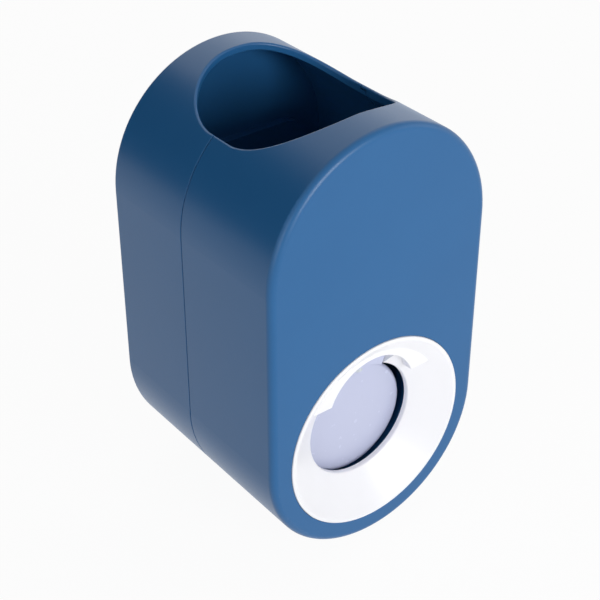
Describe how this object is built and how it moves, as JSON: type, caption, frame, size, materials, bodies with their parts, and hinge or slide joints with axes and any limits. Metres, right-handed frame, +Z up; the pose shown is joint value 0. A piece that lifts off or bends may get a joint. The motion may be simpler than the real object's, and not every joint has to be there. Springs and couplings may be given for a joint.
{
  "type": "toothpaste dispenser",
  "caption": "Capsule-shaped wall-hung dispenser: a paste tube stands in the open top, and pushing a brush into the round front port pumps out one dose.",
  "frame": {"origin": "middle of the adhesive pad's wall face, on the wall plane", "axes": "+X to the right seen from the front, +Y into the wall, +Z up"},
  "size_m": [0.079, 0.0789, 0.142],
  "materials": {
    "shell": "satin moulded ABS, steel blue",
    "white_gloss": "polished moulded ABS, white",
    "white_satin": "moulded polypropylene, white",
    "silicone": "moulded silicone, milky",
    "spring_steel": "drawn stainless spring wire",
    "zinc_steel": "zinc-plated steel",
    "plate_plastic": "moulded ABS, white",
    "foam": "double-sided foam tape, white"
  },
  "bodies": {
    "wall_mount": {"wall_plate": "plate_plastic", "adhesive_pad": "foam"},
    "housing": {"rear_shell": "shell", "pump_body": "white_satin", "pump_screws": "zinc_steel", "barrel_bush": "white_satin", "bush_gasket": "silicone", "stem_seal": "silicone", "inlet_valve": "silicone", "valve_cage": "white_satin", "tube_socket": "silicone", "socket_collar": "white_satin", "return_spring": "spring_steel"},
    "pusher": {"push_head": "white_gloss", "piston": "white_satin", "piston_seal": "silicone", "outlet_valve": "silicone", "nozzle_tip": "silicone"},
    "front_cover": {"front_shell": "shell", "port_ring": "white_gloss"}
  },
  "joints": [
    {"name": "hang_lift", "type": "slide", "parent": "wall_mount", "child": "housing", "axis": [0, 0, 1], "range_m": [0, 0.007]},
    {"name": "press_in", "type": "slide", "parent": "housing", "child": "pusher", "axis": [0, 1, 0], "range_m": [0, 0.008], "stiffness_N_per_m": 400, "springref_m": -0.005, "deforming": ["return_spring"]},
    {"name": "cover_pull", "type": "slide", "parent": "housing", "child": "front_cover", "axis": [0, -1, 0], "range_m": [0, 0.06]}
  ]
}
